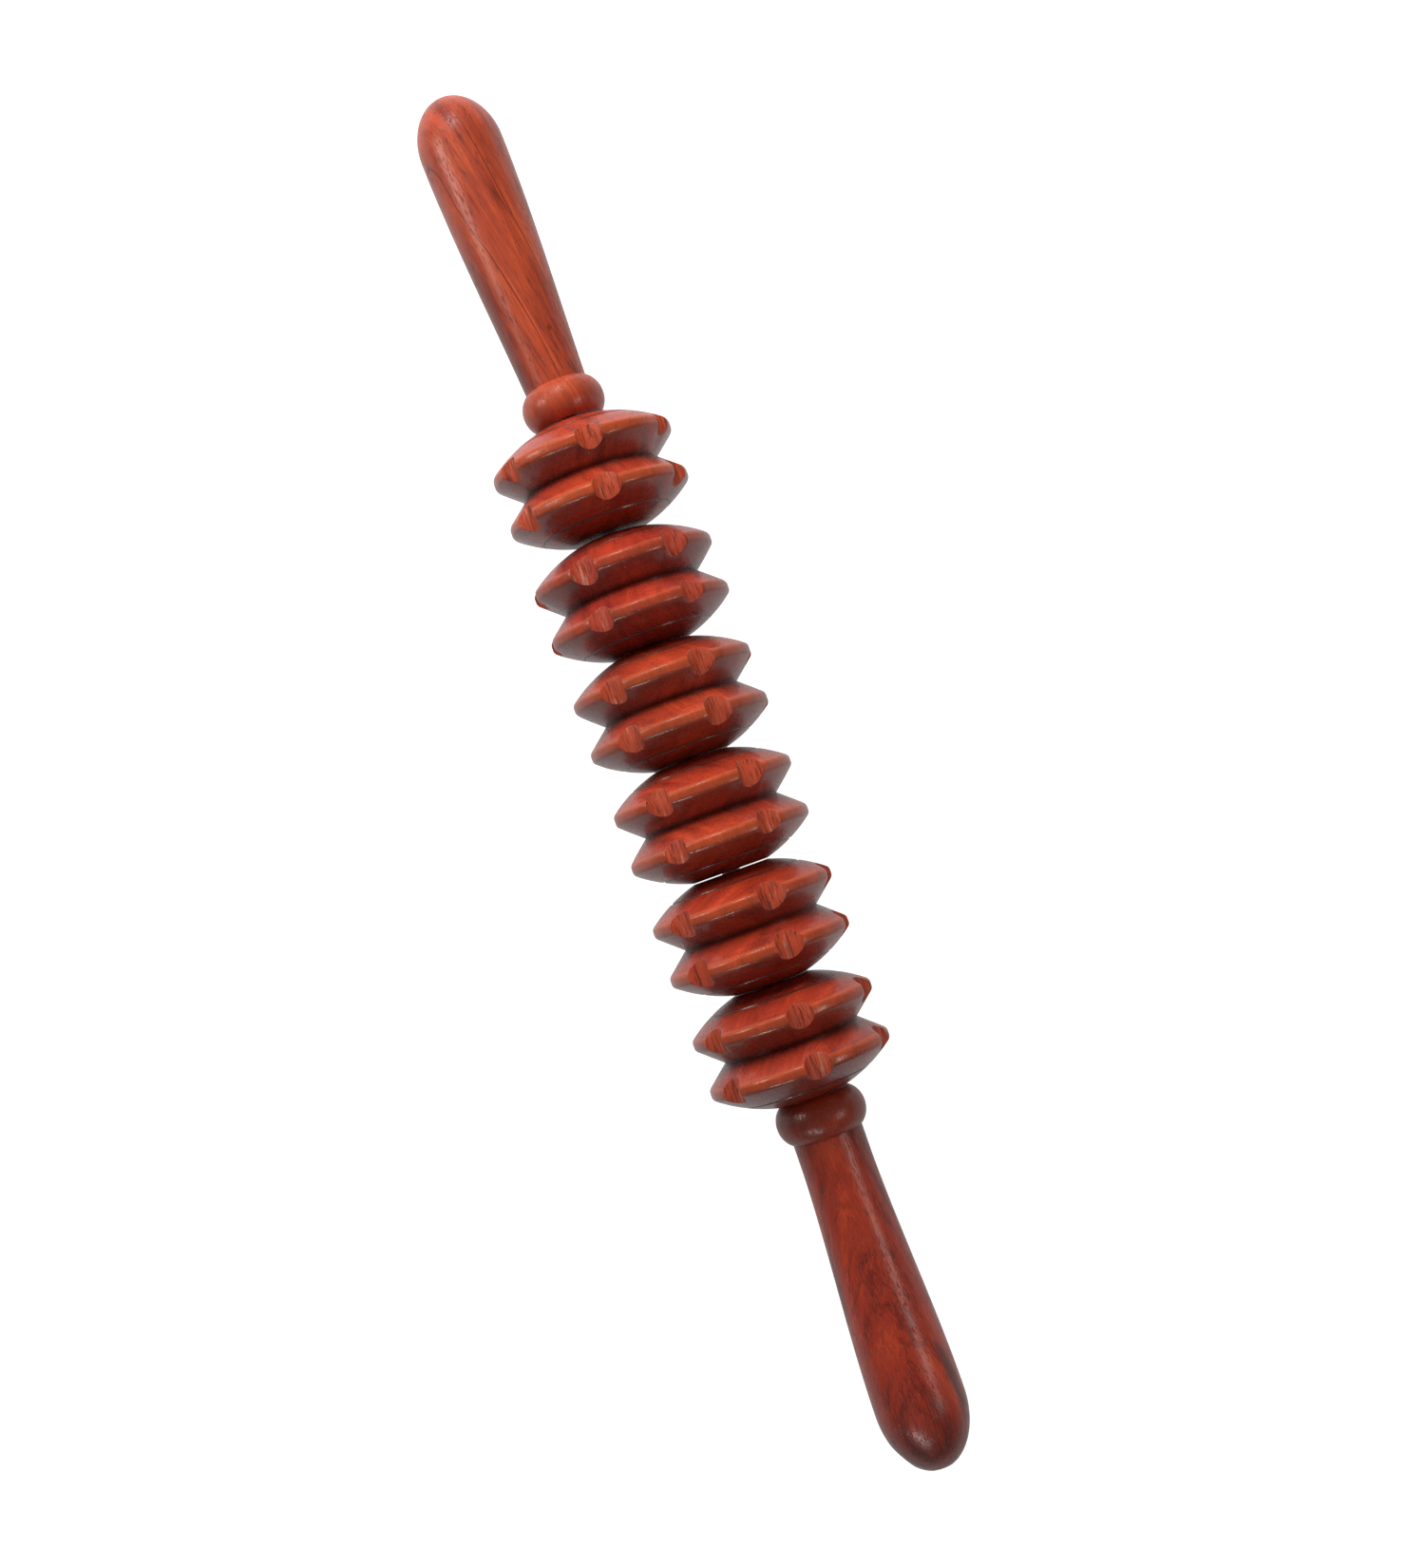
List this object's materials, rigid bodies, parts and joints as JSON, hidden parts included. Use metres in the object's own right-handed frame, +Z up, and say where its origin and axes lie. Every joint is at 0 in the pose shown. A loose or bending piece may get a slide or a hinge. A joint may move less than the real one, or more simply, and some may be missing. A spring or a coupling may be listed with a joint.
{
  "type": "massage roller stick",
  "caption": "Wooden massage stick: notched ridged rollers spin freely side by side on a steel rod between turned grips with bead collars.",
  "frame": {"origin": "middle of the whole stick's box, which is on the rod's centre line", "axes": "+X along the rod towards the larger grip, +Z up, +Y across the stick"},
  "size_m": [0.3881, 0.05, 0.05],
  "materials": {
    "steel_rod": "bright drawn steel",
    "left_grip_wood": "satin varnish over red stain, lighter orange brown",
    "right_grip_wood": "satin varnish over red stain, darker with streaks",
    "roller_wood": "satin varnish over red stain"
  },
  "bodies": {
    "stick": {"axle_rod": "steel_rod", "left_grip": "left_grip_wood", "right_grip": "right_grip_wood"},
    "roller_1": {"roller_1": "roller_wood"},
    "roller_2": {"roller_2": "roller_wood"},
    "roller_3": {"roller_3": "roller_wood"},
    "roller_4": {"roller_4": "roller_wood"},
    "roller_5": {"roller_5": "roller_wood"},
    "roller_6": {"roller_6": "roller_wood"}
  },
  "joints": [
    {"name": "roller_1_spin", "type": "hinge", "parent": "stick", "child": "roller_1", "pos_m": [-0.0827, 0, 0], "axis": [1, 0, 0], "continuous": true},
    {"name": "roller_2_spin", "type": "hinge", "parent": "stick", "child": "roller_2", "pos_m": [-0.0502, 0, 0], "axis": [1, 0, 0], "continuous": true},
    {"name": "roller_3_spin", "type": "hinge", "parent": "stick", "child": "roller_3", "pos_m": [-0.0187, 0, 0], "axis": [1, 0, 0], "continuous": true},
    {"name": "roller_4_spin", "type": "hinge", "parent": "stick", "child": "roller_4", "pos_m": [0.0128, 0, 0], "axis": [1, 0, 0], "continuous": true},
    {"name": "roller_5_spin", "type": "hinge", "parent": "stick", "child": "roller_5", "pos_m": [0.0443, 0, 0], "axis": [1, 0, 0], "continuous": true},
    {"name": "roller_6_spin", "type": "hinge", "parent": "stick", "child": "roller_6", "pos_m": [0.0758, 0, 0], "axis": [1, 0, 0], "continuous": true}
  ]
}
